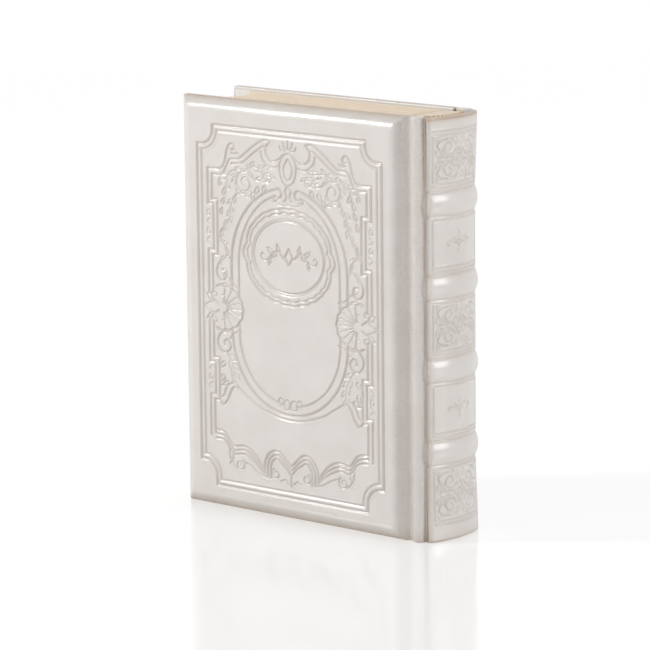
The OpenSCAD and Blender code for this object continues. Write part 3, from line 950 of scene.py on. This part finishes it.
def hinge_skin(name, side):
    """Leather from under the padded edge, through the channel, over the shoulder and into the groove
    by the spine. Its section runs out and back, so it is closed."""
    out, back = hinge_outline()
    section = np.concatenate([out, back])
    is_out = np.arange(len(section)) < len(out)
    toward = section.mean(0) - section
    length = np.maximum(np.hypot(*toward.T), 0.01)[:, None]
    from_end, end_inset = np.array([0, 0.12, 0.4, 0.9]), [0.55, 0.3, 0.1, 0]
    zs = np.concatenate([from_end[:-1], np.linspace(0.9, HEIGHT - 0.9, 170), HEIGHT - from_end[-2::-1]])
    rows = []
    for z in zs:
        inset = np.interp(min(z, HEIGHT - z), from_end, end_inset)
        p = section + toward / length * np.minimum(inset, 0.4 * length)
        wave = 0.05 * math.sin(0.21 * z + 1.3) + 0.04 * math.sin(0.47 * z)
        # beside each raised band the groove is fuller and the ridge is drawn in
        by_band = max(math.exp(-((z - b) / 3.6) ** 2) for b in BAND_Z)
        fill = by_band * np.exp(-((p[:, 0] - RIDGE_END - 0.3) / 1.1) ** 2) * is_out
        push = -0.45 * by_band * np.exp(-((p[:, 0] - RIDGE_END) / 1.6) ** 2) * is_out
        y = p[:, 1] + 0.9 * fill + wave * (p[:, 1] > SHOULDER_Y)
        rows.append(np.stack([p[:, 0] + push, side * y, np.full(len(p), z)], -1))
    verts = np.concatenate(rows)
    n = len(section)
    faces = grid_faces(len(zs), n, close_v=True, flip=side < 0)
    caps = [list(range(n)), [(len(zs) - 1) * n + k for k in range(n)][::-1]]
    faces += [c[::-1] for c in caps] if side < 0 else caps
    obj = make_object(name, verts, faces, LEATHER)
    set_value(obj, "pressed", np.zeros(len(verts)))
    x, z = verts[:, 0], verts[:, 2]
    # painted shade in the channel and in the groove by the spine, and painted contact shade at the tail
    channel = 0.15 * np.exp(-((x - FOOT_X - 0.3) / 0.9) ** 2)
    groove = 0.3 * np.clip((x - RIDGE_END + 0.8) / 1.2, 0, 1)
    set_value(obj, "wear_and_shade", channel + groove + 0.5 * np.exp(-z / 2.0))
    return obj


for word, side in (("front", -1), ("back", 1)):
    skin = hinge_skin(f"{word}_hinge_skin", side)
    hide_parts(f"{word}_joint_leather", f"{word}_shoulder")
    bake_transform(skin)


# -------- leaves
LEAVES_SHOWN = 11  # leaves drawn on the edges of one section
LEAF_ROOT = 4.0  # length over which a section narrows to its back
BACK_GAP = 0.3
FORE_HOLLOW = 8.0  # depth of the fore edge's hollow


def leaf_edges(y0, y1, seed):
    """Places across a section's thickness, and how far its edge is cut back at each."""
    rng = np.random.default_rng(seed)
    edges = []
    for k in range(LEAVES_SHOWN):
        a, b = y0 + (y1 - y0) * k / LEAVES_SHOWN, y0 + (y1 - y0) * (k + 1) / LEAVES_SHOWN
        cut = rng.uniform(0, 0.22)
        between = 0.28 + 0.5 * cut
        edges += [(a + 0.04, between), (a + 0.25 * (b - a), cut), (b - 0.25 * (b - a), cut),
                  (b - 0.04, between)]
    return edges


def block_faces(r, m):
    """Faces of a closed slab whose points are r pairs of lines of m points, the lower one first."""
    def at(i, top, j):
        return (2 * i + top) * m + j

    faces = []
    for i in range(r - 1):
        for j in range(m - 1):
            faces.append([at(i, 1, j), at(i, 1, j + 1), at(i + 1, 1, j + 1), at(i + 1, 1, j)])
            faces.append([at(i, 0, j), at(i + 1, 0, j), at(i + 1, 0, j + 1), at(i, 0, j + 1)])
        faces.append([at(i, 0, 0), at(i, 1, 0), at(i + 1, 1, 0), at(i + 1, 0, 0)])
        faces.append([at(i, 0, m - 1), at(i + 1, 0, m - 1), at(i + 1, 1, m - 1), at(i, 1, m - 1)])
    for j in range(m - 1):
        faces.append([at(0, 0, j), at(0, 0, j + 1), at(0, 1, j + 1), at(0, 1, j)])
        faces.append([at(r - 1, 1, j), at(r - 1, 1, j + 1), at(r - 1, 0, j + 1), at(r - 1, 0, j)])
    return faces


def leaf_block(n):
    """One section of leaves: a slab whose three free edges show the separate leaves."""
    lo, hi = box_mm(f"section_{n}")
    middle, block_y = (lo[1] + hi[1]) / 2, BACKS_HI[1]
    x_end = hi[0] - BACK_GAP
    along = np.concatenate([[0, 0.02], np.linspace(0.1, 1, 24)])
    edges = leaf_edges(lo[1], hi[1], 40 + n)
    verts = []
    for y, cut in edges:
        bow = (middle / block_y) ** 2 - (y / block_y) ** 2
        fore = lo[0] + cut + max(0.9 * FORE_HOLLOW * bow, 0)
        x = fore + (x_end - fore) * along
        near_back = np.clip((x - x_end + LEAF_ROOT) / LEAF_ROOT, 0, 1)
        narrowed = middle + (y - middle) * (1 - 0.72 * near_back)
        for z in (lo[2] + 0.8 * cut, hi[2] - 0.8 * cut):
            verts.append(np.stack([x, narrowed, np.full(len(x), z)], -1))
    faces = block_faces(len(edges), len(along))
    return make_object(f"leaves_{n}", np.concatenate(verts), faces, PAPER, smooth=False)


for n in range(1, 9):
    block = leaf_block(n)
    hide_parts(f"section_{n}")
    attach(block, BODY_OF[f"section_{n}"])

dress("sewn_backs", PAPER)
dress("spine_lining", CLOTH)
dress("spine_inlay", CARD)
for n in range(1, 5):
    dress(f"raised_band_{n}", CARD)
for name in ("head_band", "tail_band"):
    dress(name, SILK)


# -------- stage, light and camera
SKY_SEEN, SKY_FILL = 1.0, 0.08  # strength as looked at or mirrored, and as soft light
FLOOR_SEEN, FLOOR_FILL = 0.42, 0.13
FLOOR_HALF = 30.0  # metres, so that its far edge is lost in the white
LIGHT_AIM = Vector((0, 0, 0.085))  # the middle of the book
LIGHT_DISTANCE = 1.3
# name, azimuth (0 is in front, 90 to the right), elevation, side of the square and power
LIGHTS = [("key", -48, 35, 0.19, 7.6), ("front", -12, 15, 0.5, 2.9), ("left", -84, 8, 0.4, 1.0),
          ("top", 170, 62, 1.0, 5.0), ("right", 104, 18, 0.5, 5.8), ("fill", 42, 10, 0.9, 3.4)]
VIEW_AZIMUTH, VIEW_ELEVATION, VIEW_ROLL = 40.69, 10.79, -0.602
VIEW_DISTANCE, VIEW_LENS = 1.542, 213.06
AIM = Vector(((COVER_LO[0] + 75.1) * MM, -EDGE_Y * MM, 0.0823))

scene = bpy.context.scene


def by_ray(s, seen, fill):
    """A strength of `seen` as looked at or mirrored, and of `fill` as soft light."""
    return s.ranged(s.node("LightPath").outputs["Is Diffuse Ray"], seen, fill)


def direction(azimuth, elevation):
    """The way from the book towards that azimuth and elevation, in degrees."""
    a, e = math.radians(azimuth), math.radians(elevation)
    return Vector((math.sin(a) * math.cos(e), -math.cos(a) * math.cos(e), math.sin(e)))


def white_sky():
    s = Shader(bpy.data.worlds.new("studio"))
    background = s.nodes["Background"]
    background.inputs["Color"].default_value = (1, 1, 1, 1)
    s.links.new(by_ray(s, SKY_SEEN, SKY_FILL), background.inputs["Strength"])
    scene.world = s.owner


def glossy_floor():
    """A white sheet with a faint reflection, far wider than the view."""
    h = FLOOR_HALF
    mesh = bpy.data.meshes.new("floor")
    mesh.from_pydata([(-h, -h, 0), (h, -h, 0), (h, h, 0), (-h, h, 0)], [], [(0, 1, 2, 3)])
    s = Shader(bpy.data.materials.new("floor"))
    s.constant("Base Color", (0.5, 0.5, 0.5, 1))
    s.constant("Roughness", 0.12)
    s.constant("IOR", 2.6)
    s.constant("Emission Color", (1, 1, 1, 1))
    s.surface(Emission_Strength=by_ray(s, FLOOR_SEEN, FLOOR_FILL))
    mesh.materials.append(s.owner)
    obj = bpy.data.objects.new("floor", mesh)
    scene.collection.objects.link(obj)


def area_light(name, azimuth, elevation, size, power):
    """A square soft box that faces the book."""
    data = bpy.data.lights.new(name, "AREA")
    data.shape = "RECTANGLE"
    data.size, data.size_y = size, size
    data.energy = power
    way = direction(azimuth, elevation)
    obj = bpy.data.objects.new(name, data)
    obj.location = LIGHT_AIM + way * LIGHT_DISTANCE
    obj.rotation_mode = "QUATERNION"
    obj.rotation_quaternion = way.to_track_quat("Z", "Y")
    scene.collection.objects.link(obj)


def photo_camera():
    """The camera that took the photo, rolled a little about its own line of sight."""
    back = direction(VIEW_AZIMUTH, VIEW_ELEVATION)
    a, roll = math.radians(VIEW_AZIMUTH), math.radians(VIEW_ROLL)
    level = Vector((math.cos(a), math.sin(a), 0))
    upright = back.cross(level)
    right = level * math.cos(roll) + upright * math.sin(roll)
    up = upright * math.cos(roll) - level * math.sin(roll)
    data = bpy.data.cameras.new("camera")
    data.lens, data.sensor_width = VIEW_LENS, 36.0
    data.clip_start, data.clip_end = 0.05, 100.0
    camera = bpy.data.objects.new("camera", data)
    turn = Matrix((right, up, back)).transposed().to_4x4()
    camera.matrix_world = Matrix.Translation(AIM + back * VIEW_DISTANCE) @ turn
    scene.collection.objects.link(camera)
    scene.camera = camera


scene.view_settings.view_transform = "Standard"
white_sky()
glossy_floor()
for light in LIGHTS:
    area_light(*light)
photo_camera()
